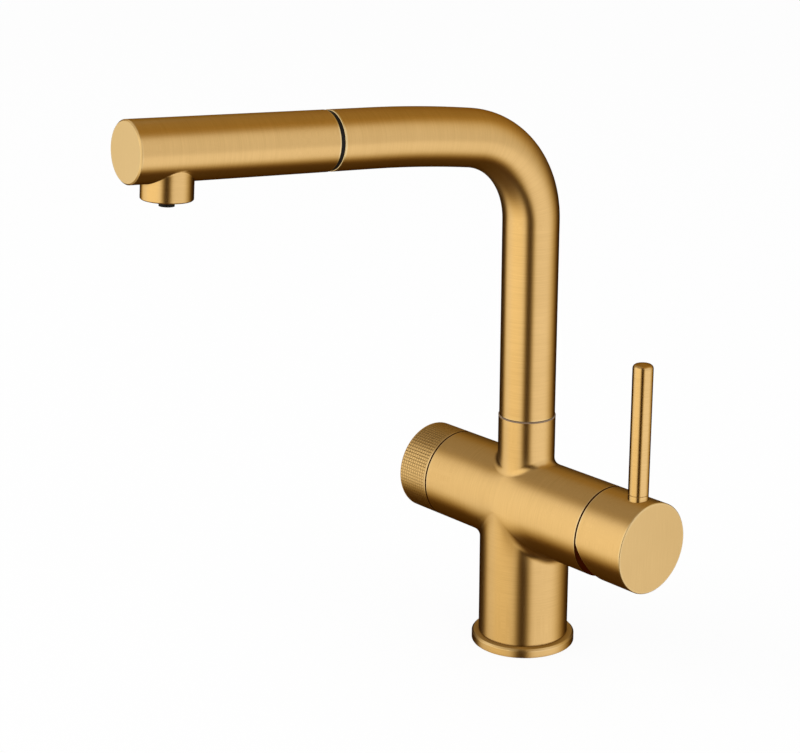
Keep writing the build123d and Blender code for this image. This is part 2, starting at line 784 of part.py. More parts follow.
pieces = {
    "tap_body": make_tap_body(),
    "base_ring": make_base_ring(),
    "base_gasket": make_base_gasket(),
    "inlet_block": make_inlet_block(),
    "hot_supply_tube": make_supply_tube("hot"),
    "cold_supply_tube": make_supply_tube("cold"),
    "mixed_outlet_tube": make_supply_tube("mixed"),
    "filtered_inlet_tube": make_supply_tube("filtered_in"),
    "filtered_outlet_tube": make_supply_tube("filtered_out"),
    "swivel_washer": make_swivel_washer(),
    "spout_keeper_screw": make_keeper_screw(),
    "hose_tail": make_hose_tail(),
    "spout_tube": make_spout_tube(),
    "swivel_insert": make_swivel_insert(),
    "swivel_rings": make_swivel_rings(),
    "dock_collar": make_dock_collar(),
    "pull_hose": make_pull_hose(),
    "filtered_hose": make_filtered_hose(),
    "spray_shell": make_spray_shell(),
    "spray_core": make_spray_core(),
    "hose_connector": make_hose_connector(),
    "hose_ferrule": make_hose_ferrule(),
    "filtered_head_tube": make_head_tube(),
    "filtered_outlet": make_filtered_outlet(),
    "aerator_housing": make_aerator_housing(),
    "aerator_grid": make_aerator_grid(),
    "aerator_seal": make_aerator_seal(),
    "cartridge_seal": make_cartridge_seal(),
    "cartridge_base": make_cartridge_base(),
    "cartridge_housing": make_cartridge_housing(),
    "cartridge_fixed_disc": make_fixed_disc(),
    "cartridge_nut": make_retaining_nut(),
    "cartridge_shroud": make_cartridge_shroud(),
    "cartridge_turret": make_turret(),
    "cartridge_pivot_pin": make_pivot_pin(),
    "cartridge_moving_disc": make_moving_disc(),
    "cartridge_disc_carrier": make_disc_carrier(),
    "handle_stem": make_stem(),
    "handle_cap": make_handle_cap(),
    "handle_lever": make_lever(),
    "lever_stud": make_lever_stud(),
    "handle_screw": make_handle_screw(),
    "valve_seal": make_valve_seal(),
    "valve_fixed_disc": make_valve_fixed_disc(),
    "valve_headwork": make_valve_headwork(),
    "valve_turning_disc": make_valve_turning_disc(),
    "valve_spindle": make_valve_spindle(),
    "valve_circlip": make_valve_circlip(),
    "filter_knob": make_filter_knob(),
    "knob_screw": make_knob_screw(),
}

os.makedirs("parts", exist_ok=True)
for name, piece in pieces.items():
    export_step(piece, f"parts/{name}.step")
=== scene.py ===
"""Looks of the brushed-gold kitchen mixer tap.

Metres, in the frame of the CAD part: origin at the middle of the foot, +Z up, -Y towards the
sink, the mixer handle at +X and the knurled filtered-water knob at -X. The visible metal is
rebuilt as fine meshes whose points carry exact normals and the direction of their brushing.
"""

import json
import math

import bmesh
import bpy
from mathutils import Matrix, Vector


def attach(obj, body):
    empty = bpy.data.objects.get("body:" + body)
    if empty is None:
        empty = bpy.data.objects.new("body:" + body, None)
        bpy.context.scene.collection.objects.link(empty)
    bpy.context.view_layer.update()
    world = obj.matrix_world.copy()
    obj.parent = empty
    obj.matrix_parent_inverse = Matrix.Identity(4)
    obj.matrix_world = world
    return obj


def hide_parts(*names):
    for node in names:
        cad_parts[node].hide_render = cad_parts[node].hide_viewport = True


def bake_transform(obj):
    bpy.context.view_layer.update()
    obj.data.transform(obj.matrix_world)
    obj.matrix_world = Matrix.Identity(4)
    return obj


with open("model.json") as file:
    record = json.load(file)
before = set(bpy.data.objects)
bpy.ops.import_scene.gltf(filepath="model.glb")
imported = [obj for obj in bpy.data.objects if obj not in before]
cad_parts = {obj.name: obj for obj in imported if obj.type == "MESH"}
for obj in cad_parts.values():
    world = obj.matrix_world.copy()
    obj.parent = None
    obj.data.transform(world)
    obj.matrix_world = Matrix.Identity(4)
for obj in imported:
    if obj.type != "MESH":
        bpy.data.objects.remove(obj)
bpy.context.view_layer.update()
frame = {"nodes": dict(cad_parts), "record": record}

MM = 0.001

# ---- photograph ----
PHOTO_WIDTH = 800
CAMERA_AZIMUTH = math.radians(48.62)
CAMERA_ELEVATION = math.radians(17.83)
CAMERA_ROLL = math.radians(0.07)
CAMERA_DISTANCE = 1.05692
FOCAL_PIXELS = 2117.2
AIM_SIDE = -0.06379      # the aim lies this far to the camera's right of the column's axis
AIM_HEIGHT = 0.14175
SENSOR = 36.0

# ---- casting ----
CROSS_Z = 76.0 * MM
BODY_R = 22.9 * MM
COLUMN_R = 22.85 * MM
NECK_R = 14.35 * MM
NECK_TOP = 121.75 * MM
MIXER_ARM = 56.8 * MM
FILTER_ARM = 50.2 * MM
COLUMN_BLEND = 6.0 * MM
NECK_BLEND = 4.0 * MM
EDGE = 0.3 * MM          # broken edge of a turned end
SLIGHT_EDGE = EDGE / 3   # rounding of a corner that gives none
EDGE_HIGHLIGHT_BAND = 0.8 * MM     # how far an edge's painted highlight reaches
LONG_WALL = 2 * (EDGE + EDGE_HIGHLIGHT_BAND)    # walls longer than this keep their own tone in the middle, free of the painted edge highlight
LIP = 3.0 * MM           # length of wall next to a turned end that is woven with the end
MOUTH_R = 19.0 * MM      # open end of both arms, and the cavity in the column
CARTRIDGE_R = 17.5 * MM
CARTRIDGE_TOP = 50.0 * MM
CARTRIDGE_FLOOR = 26.0 * MM
VALVE_R = 12.5 * MM
VALVE_TOP = 40.0 * MM
VALVE_FLOOR = 24.0 * MM
COLUMN_FOOT = 5.1 * MM
GROOVE_R = 22.35 * MM
SPIGOT_R = 20.7 * MM
SPIGOT_FOOT = 0.3 * MM
CAVITY_TOP = 50.0 * MM
HOSE_WAY_R = 8.5 * MM
SWIVEL_BORE_R = 12.0 * MM
SWIVEL_BORE_FLOOR = 96.75 * MM

# ---- base ring and washer ----
RING_R = 26.4 * MM
RING_H = 4.6 * MM
RING_CHAMFER = 0.9 * MM
RING_BORE_R = 20.75 * MM
GASKET_IN_R = 22.4 * MM
GASKET_OUT_R = 24.8 * MM
GASKET_H = 2.0 * MM
WASHER_R = 14.4 * MM
WASHER_BORE_R = 12.1 * MM
WASHER_H = 0.6 * MM

# ---- spout, measured along its centre line from the deck ----
TUBE_R = 14.0 * MM
TUBE_BORE_R = 12.5 * MM
TUBE_FOOT = 122.4 * MM
BEND_START = 222.2 * MM
BEND_R = 45.5 * MM
EASE_R = 640.0 * MM
RISE = math.radians(3.8)
BEND_TURN = math.radians(81.2)
STRAIGHT = 23.2 * MM
SWING = math.radians(-6.3)

# ---- dock and spray, measured from the end of the spout tube ----
DOCK_GAP = 2.2 * MM
DOCK_TOP = 2.18 * MM
DOCK_RING_R = 13.65 * MM
DOCK_SLEEVE_R = 12.48 * MM
DOCK_BORE_R = 9.3 * MM
DOCK_DEPTH = 18.0 * MM
SPRAY_LENGTH = 100.6 * MM
SPRAY_WALL = 1.7 * MM
SPRAY_END_WALL = 2.6 * MM
SPRAY_CHAMFER = 0.7 * MM
NOZZLE_R = 11.7 * MM
NOZZLE_BORE_R = 9.6 * MM
NOZZLE_FROM_END = 20.5 * MM
NOZZLE_DROP = 7.5 * MM
NOZZLE_FLOOR = 9.0 * MM  # height of the bore's floor, from the spray's centre line
NOZZLE_CHAMFER = 0.5 * MM
NOZZLE_JOINT = 0.25 * MM

# ---- handle ----
HANDLE_LOW = 57.4 * MM
HANDLE_HIGH = 86.4 * MM
HANDLE_FLOOR = 82.9 * MM
HANDLE_BORE_R = 20.0 * MM
HANDLE_CHAMFER = 0.35 * MM
HANDLE_RELIEF = math.radians(23.0)
HUB_R = 9.0 * MM
HUB_LOW = 65.5 * MM
LEVER_X = 76.4 * MM
LEVER_R = 5.0 * MM
LEVER_LOW = 97.9 * MM
LEVER_TOP = 166.5 * MM
LEVER_ROUND = 1.8 * MM
LEVER_DOME = 0.3 * MM
LEVER_GROOVE_Z = 101.2 * MM
LEVER_GROOVE = 0.3 * MM

# ---- knob, measured out along -X ----
KNOB_LOW = 50.8 * MM
KNOB_HIGH = 70.5 * MM
KNOB_CHAMFER = 0.4 * MM
KNOB_BORE_R = 19.8 * MM
KNOB_FLOOR = 67.0 * MM
KNOB_HUB_R = 8.0 * MM
KNOB_HUB_LOW = 52.0 * MM
KNURL_COUNT = 88
KNURL_ROWS = 11
KNURL_DEPTH = 0.38 * MM
KNURL_LIP = 1.3 * MM     # smooth margin next to the joint
KNURL_END = 0.5 * MM     # smooth margin at the free end
KNURL_FLAT = 0.6         # share of a knurl point's width that is flat on top
KNURL_SOFT = 2.5         # how far the sloping sides' normals lean outward

# ---- hoses, their ends measured from the end of the spout tube ----
HOSE_R = 6.5 * MM
HOSE_LOW = 24.0 * MM
HOSE_END = -14.92 * MM
FILTERED_R = 2.5 * MM
FILTERED_LOW = 9.0 * MM
FILTERED_END = -3.0 * MM
HOSE_STRETCH = 22.0 * MM    # length of hose next to the spray that pays out when the spray is pulled
PULL = 250.0 * MM

# ---- mesh fineness ----
HALF_TURN = 64
FULL_TURN = 2 * HALF_TURN
BAND_ROWS = 12
ARC_STEPS = 4
RUN_PARTS = (0.0, 0.05, 0.12, 0.22, 0.35, 0.6, 1.0)    # rows of points from a blend to the run's end
BRANCH_PARTS = (0.04, 0.1, 0.2, 0.35, 0.6, 1.0)        # and from a blend to the branch's end
SPOUT_STEP = 2.0 * MM
HOSE_TURN = 48
HOSE_ROWS = 120
STRETCH_ROWS = 110
WELD = 2e-6
SOFT_ANGLE = math.radians(55)    # walls that meet more steeply than this keep their own normals
SOFT_FADE = math.radians(30)     # and the change towards fully softened ones takes this much
GRAIN_REACH = 3          # how far past its blend a branch's grain changes, in radii of the blend
FLAT_END = 0.9           # a normal that leans this much along the path is on a flat end
JOINT_LEAN = 0.3         # and one that leans this much is in the joint
JOINT_SHADE_LOOK = 2.0         # value of the attribute edge inside a joint, which gives it painted shade
TINY = 1e-9              # stands in for zero in a division
SPLIT_ANGLE = math.radians(28)   # the CAD's own pieces keep the edges that are sharper than this

# Places that lay the local Z axis along +X and along -X, and one that mirrors it downward.
AXIS_X = Matrix(((0, 0, 1, 0), (1, 0, 0, 0), (0, 1, 0, 0), (0, 0, 0, 1)))
AXIS_MINUS_X = Matrix(((0, 0, -1, 0), (1, 0, 0, 0), (0, 1, 0, 0), (0, 0, 0, 1)))
UPSIDE_DOWN = Matrix.Diagonal((1, 1, -1, 1))


# ---------------------------------------------------------------- mesh tools
class Skin:
    """A mesh in the making. Each point brings its normal, the direction across its brushing, its
    place in the grain, whether it has the grain of a run (0) or of a branch (1), and whether it is on
    a broken edge (1, painted highlight) or in a joint (2, painted shade)."""

    def __init__(self):
        self.points = []
        self.normals = []
        self.across = []
        self.grain = []
        self.branch = []
        self.edge = []
        self.faces = []
        self.facets = set()

    def put(self, point, normal, across, grain, branch=0.0, edge=0.0):
        self.points.append(point)
        self.normals.append(normal)
        self.across.append(across)
        self.grain.append(grain)
        self.branch.append(branch)
        self.edge.append(edge)
        return len(self.points) - 1

    def weave(self, rows, closed=False):
        """Quads between neighbouring rows of points."""
        following = rows[1:] + rows[:1] if closed else rows[1:]
        for row, other in zip(rows, following):
            for i in range(len(row) - 1):
                self.faces.append((row[i], row[i + 1], other[i + 1], other[i]))

    def facet(self, corners, across, lean=Vector()):
        """One flat face that shares no points with its neighbours. lean is added to its normal."""
        normal = (corners[1] - corners[0]).cross(corners[2] - corners[0]).normalized()
        face = [self.put(p, (normal + lean).normalized(), across, p) for p in corners]
        self.facets.update(face)
        self.faces.append(tuple(face))

    def describe(self, mesh, spin):
        """Writes what each point brings into the mesh, turned by spin."""
        vectors = {
            "normal": [spin @ n for n in self.normals],
            "across": [spin @ a for a in self.across],
            "grain": self.grain,
        }
        for label, values in vectors.items():
            layer = mesh.attributes.new(label, "FLOAT_VECTOR", "POINT")
            layer.data.foreach_set("vector", [c for v in values for c in v])
        for label, values in {"branch": self.branch, "edge": self.edge}.items():
            mesh.attributes.new(label, "FLOAT", "POINT").data.foreach_set("value", values)

    def join(self, mesh):
        """Joins the points that meet, except those of facets, and turns every face outward."""
        work = bmesh.new()
        work.from_mesh(mesh)
        work.verts.ensure_lookup_table()
        smooth = [v for v in work.verts if v.index not in self.facets]
        bmesh.ops.remove_doubles(work, verts=smooth, dist=WELD)
        bmesh.ops.dissolve_degenerate(work, edges=work.edges, dist=WELD / 2)
        layer = work.verts.layers.float_vector["normal"]
        for face in work.faces:
            outward = sum((v[layer] for v in face.verts), Vector())
            if face.normal.dot(outward) < 0:
                face.normal_flip()
            face.smooth = True
        work.to_mesh(mesh)
        work.free()

    def make(self, name, place=Matrix.Identity(4)):
        """The object, moved to place."""
        mesh = bpy.data.meshes.new(name)
        mesh.from_pydata([place @ p for p in self.points], [], self.faces)
        self.describe(mesh, place.to_3x3())
        self.join(mesh)
        mesh.normals_split_custom_set_from_vertices([d.vector for d in mesh.attributes["normal"].data])
        mesh.attributes.remove(mesh.attributes["normal"])
        obj = bpy.data.objects.new(name, mesh)
        bpy.context.scene.collection.objects.link(obj)
        return obj


def beside(way):
    """The direction to the right of way, in a profile."""
    return Vector((way.y, -way.x))


def rounded(before, here, after, radius):
    """Samples round the corner here of a profile, between the corners before and after it."""
    way_in = (here - before).normalized()
    way_out = (after - here).normalized()
    turn = way_in.angle_signed(way_out)
    bend = abs(math.tan(turn / 2))
    back = min(radius * bend, (here - before).length / 2, (after - here).length / 2)
    band = back + EDGE_HIGHLIGHT_BAND
    samples = []
    if (here - before).length > LONG_WALL:
        samples.append((here - way_in * band, beside(way_in), 0.0))
    for step in range(ARC_STEPS + 1):
        share = step / ARC_STEPS
        bent = way_in.copy()
        bent.rotate(Matrix.Rotation(-turn * share, 2))
        swept = arc_point(here - way_in * back, way_in, turn * share, back / max(bend, TINY), turn)
        samples.append((swept, beside(bent), 1.0))
    if (after - here).length > LONG_WALL:
        samples.append((here + way_out * band, beside(way_out), 0.0))
    return samples


def outline(corners, closed=False):
    """Samples (place, outward normal, edge) along a profile of (radius, height, rounding) corners,
    where edge is 1 on a corner. The outer wall runs up, so the outside is on the right of the
    direction of travel."""
    count = len(corners)
    samples = []
    for i, (r, z, *rounding) in enumerate(corners):
        here = Vector((r, z))
        before = Vector(corners[i - 1][:2]) if i or closed else None
        after = Vector(corners[(i + 1) % count][:2]) if i < count - 1 or closed else None
        if before is None or after is None:
            way = (after - here if before is None else here - before).normalized()
            samples.append((here, beside(way), 0.0))
        else:
            samples += rounded(before, here, after, rounding[0] if rounding else SLIGHT_EDGE)
    if closed:
        samples.append(samples[0])
    return samples


def arc_point(start, way, angle, radius, turn):
    """Point after turning by angle on an arc that leaves start in the direction way. The sign of
    turn gives the side to which the arc bends."""
    side = beside(way) if turn > 0 else -beside(way)
    swing = abs(angle)
    return start + way * (radius * math.sin(swing)) + side * (radius * (1 - math.cos(swing)))


def dense(samples, step):
    """Adds samples so that none are further apart than step."""
    result = [samples[0]]
    for (p, n, a), (q, m, b) in zip(samples, samples[1:]):
        parts = max(1, math.ceil((q - p).length / step))
        for k in range(1, parts + 1):
            share = k / parts
            result.append((p.lerp(q, share), (n + (m - n) * share).normalized(), a + (b - a) * share))
    return result


def straight(place=Matrix.Identity(4)):
    """A path along the local Z axis of place."""
    return lambda z: place @ Matrix.Translation((0, 0, z))


def turn_angles(count=FULL_TURN):
    return [2 * math.pi * k / count for k in range(count)]


def turned(skin, path, samples, angles=None, shift=None, end=None, edge_highlight=1.0, joint=False):
    """Turns a profile round a path. shift(sample, normal, angle) may move a sample along the path.
    end gives the flat end a straight brushing instead of a round one, and the strength of a painted
    highlight on it. worn is the strength of the painted highlight on the broken edges, and joint
    paints shade on the flat ends inside a joint and on their rounded corners."""
    angles = angles or turn_angles()
    lengths = [0.0]
    for (p, *_), (q, *_) in zip(samples, samples[1:]):
        lengths.append(lengths[-1] + (q - p).length)
    rows = []
    for angle in angles:
        ahead = Vector((math.cos(angle), math.sin(angle), 0))
        row = []
        for (at, normal, edge), length in zip(samples, lengths):
            moved, tilt = shift(at, normal, angle) if shift else (0.0, 0.0)
            place = path(at.y + moved)
            spin = place.to_3x3()
            outward = Vector((ahead.x * normal.x, ahead.y * normal.x + tilt, normal.y)).normalized()
            along = Vector((-ahead.x * normal.y, -ahead.y * normal.y, normal.x))
            point = place @ (ahead * at.x)
            grain = Vector((length, at.x * ahead.x, at.x * ahead.y))
            # The attribute edge carries painted light and shade: a painted highlight on broken edges
            # and flat ends, painted shade inside joints.
            look = edge * edge_highlight
            if end is not None and normal.y > FLAT_END:
                along = Vector((1, 0, 0))
                grain = at.x * ahead
                look = max(look, end)
            # Painted shade: the flat ends inside a joint and their rounded corners turn dark.
            if joint and abs(normal.y) > JOINT_LEAN:
                look = JOINT_SHADE_LOOK
            row.append(skin.put(point, spin @ outward, spin @ along, grain, edge=look))
        rows.append(row)
    skin.weave(rows, closed=True)


class Branch:
    """A round branch, up (side 1) or down (side -1), on a round run along X, with a rolling-ball
    blend. Its axis crosses the run's at x = at."""

    def __init__(self, run_r, radius, blend, side, at=0.0):
        self.run_r = run_r
        self.radius = radius
        self.blend = blend
        self.side = side
        self.at = at
        self.reach = GRAIN_REACH * blend

    def centre(self, phi):
        x = (self.radius + self.blend) * math.cos(phi)
        y = (self.radius + self.blend) * math.sin(phi)
        return Vector((x, y, self.side * math.sqrt((self.run_r + self.blend) ** 2 - y * y)))

    def to_branch(self, phi):
        return Vector((-math.cos(phi), -math.sin(phi), 0))

    def to_run(self, phi):
        centre = self.centre(phi)
        return Vector((0, -centre.y, -centre.z)).normalized()

    def on_run(self, phi):
        return self.centre(phi) + self.to_run(phi) * self.blend

    def on_branch(self, phi):
        return self.centre(phi) + self.to_branch(phi) * self.blend

    def share(self, distance):
        """How much of the grain is the branch's, at a distance from the blend out along the branch
        (positive) or along the run (negative)."""
        reach = min(max(distance / self.reach, -1.0), 1.0)
        return 0.5 + reach * (1.5 - 0.5 * reach * reach) / 2

    def across(self, point, normal, share):
        """Direction across the brushing, changing from along the run to along the branch."""
        way = Vector((math.copysign(1, point.x), 0, 0)).lerp(Vector((0, 0, -self.side)), share)
        return (way - normal * way.dot(normal)).normalized()

    def soft(self, normal, phi, own, amount):
        """A normal bent towards the middle of the blend, near the front and the back, where the
        walls of the run and the branch almost touch. own is the normal of that wall at the blend."""
        run, branch = -self.to_run(phi), -self.to_branch(phi)
        steepness = (SOFT_ANGLE - run.angle(branch)) / SOFT_FADE
        amount *= min(max(steepness, 0.0), 1.0)
        return (normal + ((run + branch).normalized() - own) * amount).normalized()

    def nearest(self, point):
        """Distance of a point of the run from the blend, and where round the branch that is."""
        return min(((self.on_run(phi) - point).length, phi) for phi in turn_angles())

    def weave(self, skin, end):
        """The blend, and the branch's wall as far as the height end."""
        shift = Vector((self.at, 0, 0))
        rows = []
        for phi in turn_angles():
            centre, a, b = self.centre(phi), self.to_run(phi), self.to_branch(phi)
            row = []
            for step in range(ARC_STEPS * 2 + 1):
                share = step / (ARC_STEPS * 2)
                out = a.slerp(b, share)
                point = centre + out * self.blend
                normal = self.soft(-out, phi, -out, 1.0)
                across = self.across(point, normal, share)
                row.append(skin.put(point + shift, normal, across, point + shift, 0.5))
            top = self.on_branch(phi)
            for part in BRANCH_PARTS:
                point = Vector((top.x, top.y, top.z + (end - top.z) * part))
                share = self.share(abs(point.z - top.z))
                normal = self.soft(-b, phi, -b, 2 - 2 * share)
                across = self.across(point, normal, share)
                row.append(skin.put(point + shift, normal, across, point + shift, share))
            rows.append(row)
        skin.weave(rows, closed=True)


def run_rows(branches):
    """(angle round the run, half gap, place of the gap) of each row along a run with branches."""
    half = [math.pi * (k / HALF_TURN - 0.5) for k in range(HALF_TURN + 1)]
    gaps = {}
    for branch in branches:
        rows = []
        for phi in half:
            touch = branch.on_run(phi * -branch.side)
            rows.append((math.atan2(touch.z, touch.y) % (2 * math.pi), touch.x, branch.at))
        gaps[branch.side] = rows
    below = gaps[-1]
    above = gaps.get(1)
    rows = list(below)

    def band(start, end, count):
        span = (end - start) % (2 * math.pi)
        return [(start + span * k / count, 0.0, below[0][2]) for k in range(1, count)]

    if above:
        rows += band(below[-1][0], above[0][0], BAND_ROWS) + above
        rows += band(above[-1][0], below[0][0], BAND_ROWS)
    else:
        rows += band(below[-1][0], below[0][0], HALF_TURN)
    return rows


def run_wall(skin, run_r, rows, low, high, branches):
    """The run's wall between two ends, leaving the gaps of its branches open."""
    for sign, end in ((-1, low), (1, high)):
        woven = []
        for angle, gap, at in rows:
            out = Vector((0, math.cos(angle), math.sin(angle)))
            row = []
            for part in RUN_PARTS:
                x = (at + sign * gap) * (1 - part) + end * part
                point = out * run_r + Vector((x, 0, 0))
                near = point - Vector((at, 0, 0))
                (distance, phi), _, branch = min((b.nearest(near), b.side, b) for b in branches)
                share = branch.share(-distance)
                normal = branch.soft(out, phi, -branch.to_run(phi), 2 * share)
                row.append(skin.put(point, normal, branch.across(near, normal, share), point, share))
            woven.append(row)
        skin.weave(woven, closed=True)


# ---------------------------------------------------------------- pieces
def spout_frame(s):
    """Frame on the spout's centre line, s along it from the deck. Z points along the line."""
    ahead = Vector((math.sin(SWING), -math.cos(SWING), 0))
    up = Vector((0, 0, 1))
    ease_turn = math.pi / 2 - RISE - BEND_TURN
    bend_length, ease_length = BEND_R * BEND_TURN, EASE_R * ease_turn
    at = up * min(s, BEND_START)
    turn = 0.0
    ease_start = BEND_START + bend_length
    for start, length, radius in ((BEND_START, bend_length, BEND_R), (ease_start, ease_length, EASE_R)):
        arc = min(max(s - start, 0.0), length) / radius
        at += ahead * (radius * (math.cos(turn) - math.cos(turn + arc)))
        at += up * (radius * (math.sin(turn + arc) - math.sin(turn)))
        turn += arc
    along = ahead * math.sin(turn) + up * math.cos(turn)
    at += along * max(s - ease_start - ease_length, 0.0)
    upper = up * math.sin(turn) - ahead * math.cos(turn)
    side = upper.cross(along)
    return Matrix.Translation(at) @ Matrix((side, upper, along)).transposed().to_4x4()


TUBE_END = BEND_START + BEND_R * BEND_TURN + EASE_R * (math.pi / 2 - RISE - BEND_TURN) + STRAIGHT
SPRAY_PLACE = spout_frame(TUBE_END)


def make_casting():
    column = Branch(BODY_R, COLUMN_R, COLUMN_BLEND, -1)
    neck = Branch(BODY_R, NECK_R, NECK_BLEND, 1)
    rows = run_rows((column, neck))
    angles = [row[0] for row in rows]
    skin = Skin()
    run_wall(skin, BODY_R, rows, LIP - FILTER_ARM, MIXER_ARM - LIP, (column, neck))
    column.weave(skin, COLUMN_FOOT + LIP - CROSS_Z)
    neck.weave(skin, NECK_TOP - LIP - CROSS_Z)
    turned(skin, straight(AXIS_X), outline([
        (BODY_R, MIXER_ARM - LIP), (BODY_R, MIXER_ARM, EDGE), (MOUTH_R, MIXER_ARM),
        (MOUTH_R, CARTRIDGE_TOP), (CARTRIDGE_R, CARTRIDGE_TOP), (CARTRIDGE_R, CARTRIDGE_FLOOR),
        (0, CARTRIDGE_FLOOR)]), angles, edge_highlight=0.8, joint=True)
    turned(skin, straight(AXIS_MINUS_X), outline([
        (BODY_R, FILTER_ARM - LIP), (BODY_R, FILTER_ARM, EDGE), (MOUTH_R, FILTER_ARM),
        (MOUTH_R, VALVE_TOP), (VALVE_R, VALVE_TOP), (VALVE_R, VALVE_FLOOR), (0, VALVE_FLOOR)]),
        angles, edge_highlight=0.55, joint=True)
    down = straight(Matrix.Translation((0, 0, -CROSS_Z)) @ UPSIDE_DOWN)
    turned(skin, down, outline([
        (COLUMN_R, -COLUMN_FOOT - LIP), (COLUMN_R, -COLUMN_FOOT, EDGE), (GROOVE_R, -COLUMN_FOOT),
        (GROOVE_R, -RING_H), (SPIGOT_R, -RING_H), (SPIGOT_R, -SPIGOT_FOOT), (MOUTH_R, -SPIGOT_FOOT),
        (MOUTH_R, -CAVITY_TOP), (HOSE_WAY_R, -CAVITY_TOP), (HOSE_WAY_R, -SWIVEL_BORE_FLOOR),
        (SWIVEL_BORE_R, -SWIVEL_BORE_FLOOR), (SWIVEL_BORE_R, -NECK_TOP), (NECK_R, -NECK_TOP, EDGE),
        (NECK_R, LIP - NECK_TOP)]), edge_highlight=0.0)
    return skin.make("body_casting", Matrix.Translation((0, 0, CROSS_Z)))


def make_base_ring():
    skin = Skin()
    turned(skin, straight(), outline([
        (RING_R, 0), (RING_R, RING_H - RING_CHAMFER, EDGE), (RING_R - RING_CHAMFER, RING_H, EDGE),
        (RING_BORE_R, RING_H), (RING_BORE_R, 0), (GASKET_IN_R, 0), (GASKET_IN_R, GASKET_H),
        (GASKET_OUT_R, GASKET_H), (GASKET_OUT_R, 0)], closed=True), edge_highlight=0.35)
    return skin.make("foot_ring")


def make_washer():
    skin = Skin()
    turned(skin, straight(), outline([
        (WASHER_R, NECK_TOP), (WASHER_R, NECK_TOP + WASHER_H), (WASHER_BORE_R, NECK_TOP + WASHER_H),
        (WASHER_BORE_R, NECK_TOP)], closed=True))
    return skin.make("neck_washer")


def make_spout():
    skin = Skin()
    foot = outline([
        (TUBE_BORE_R, BEND_START), (TUBE_BORE_R, TUBE_FOOT), (TUBE_R, TUBE_FOOT, EDGE),
        (TUBE_R, BEND_START)])
    end = outline([
        (TUBE_R, BEND_START), (TUBE_R, TUBE_END, EDGE), (TUBE_BORE_R, TUBE_END),
        (TUBE_BORE_R, BEND_START)])
    turned(skin, spout_frame, dense(foot, SPOUT_STEP), edge_highlight=0.55, joint=True)
    turned(skin, spout_frame, dense(end, SPOUT_STEP))
    return skin.make("spout_pipe")


def make_dock():
    skin = Skin()
    turned(skin, straight(SPRAY_PLACE), outline([
        (DOCK_SLEEVE_R, -DOCK_DEPTH), (DOCK_SLEEVE_R, 0), (DOCK_RING_R, 0), (DOCK_RING_R, DOCK_TOP),
        (DOCK_BORE_R, DOCK_TOP, EDGE), (DOCK_BORE_R, -DOCK_DEPTH)], closed=True))
    return skin.make("dock_ring")


def make_spray():
    far = DOCK_GAP + SPRAY_LENGTH
    at = far - NOZZLE_FROM_END
    low = TUBE_R + NOZZLE_DROP
    nozzle = Branch(TUBE_R, NOZZLE_R, NOZZLE_JOINT, -1, at)
    rows = run_rows((nozzle,))
    angles = [row[0] for row in rows]
    bore_r = TUBE_R - SPRAY_WALL
    skin = Skin()
    run_wall(skin, TUBE_R, rows, DOCK_GAP + LIP, far - SPRAY_CHAMFER - LIP, (nozzle,))
    nozzle.weave(skin, NOZZLE_CHAMFER + LIP - low)
    turned(skin, straight(AXIS_MINUS_X), outline([
        (TUBE_R, -DOCK_GAP - LIP), (TUBE_R, -DOCK_GAP, EDGE), (bore_r, -DOCK_GAP),
        (bore_r, SPRAY_END_WALL - far), (0, SPRAY_END_WALL - far)]), angles)
    turned(skin, straight(AXIS_X), outline([
        (TUBE_R, far - SPRAY_CHAMFER - LIP), (TUBE_R, far - SPRAY_CHAMFER, EDGE),
        (TUBE_R - SPRAY_CHAMFER, far, EDGE), (0, far)]), angles, edge_highlight=0.4, end=0.6)
    down = straight(Matrix.Translation((at, 0, 0)) @ UPSIDE_DOWN)
    turned(skin, down, outline([
        (NOZZLE_R, low - NOZZLE_CHAMFER - LIP), (NOZZLE_R, low - NOZZLE_CHAMFER, EDGE),
        (NOZZLE_R - NOZZLE_CHAMFER, low, EDGE), (NOZZLE_BORE_R, low), (NOZZLE_BORE_R, NOZZLE_FLOOR),
        (0, NOZZLE_FLOOR)]), edge_highlight=0.0)
    return skin.make("spray_casing", SPRAY_PLACE @ AXIS_X.inverted())


def make_handle():
    slope = math.tan(HANDLE_RELIEF)
    middle = (HANDLE_LOW + HANDLE_HIGH) / 2

    def relief(at, normal, angle):
        """The lower half of the back edge slants, so that the handle can tilt."""
        drop = max(0.0, -at.x * math.sin(angle))
        if at.y > HANDLE_LOW + LIP:
            return 0.0, 0.0
        return drop * slope, slope * normal.y if drop else 0.0

    skin = Skin()
    turned(skin, straight(AXIS_X), outline([
        (0, HUB_LOW), (HUB_R, HUB_LOW), (HUB_R, HANDLE_FLOOR), (HANDLE_BORE_R, HANDLE_FLOOR),
        (HANDLE_BORE_R, HANDLE_LOW), (BODY_R, HANDLE_LOW, EDGE), (BODY_R, middle)]),
        shift=relief, edge_highlight=0.8, joint=True)
    turned(skin, straight(AXIS_X), outline([
        (BODY_R, middle), (BODY_R, HANDLE_HIGH - HANDLE_CHAMFER, EDGE),
        (BODY_R - HANDLE_CHAMFER, HANDLE_HIGH, EDGE), (0, HANDLE_HIGH)]), edge_highlight=0.6, end=0.4)
    return skin.make("handle_shell", Matrix.Translation((0, 0, CROSS_Z)))


def make_lever():
    groove_r = LEVER_R - LEVER_GROOVE
    groove_top = LEVER_GROOVE_Z + LEVER_GROOVE
    skin = Skin()
    turned(skin, straight(Matrix.Translation((LEVER_X, 0, 0))), outline([
        (0, LEVER_LOW), (LEVER_R, LEVER_LOW), (LEVER_R, LEVER_GROOVE_Z), (groove_r, LEVER_GROOVE_Z),
        (groove_r, groove_top), (LEVER_R, groove_top), (LEVER_R, LEVER_TOP - LEVER_DOME, LEVER_ROUND),
        (0, LEVER_TOP)]), edge_highlight=0.0)
    return skin.make("lever_rod")


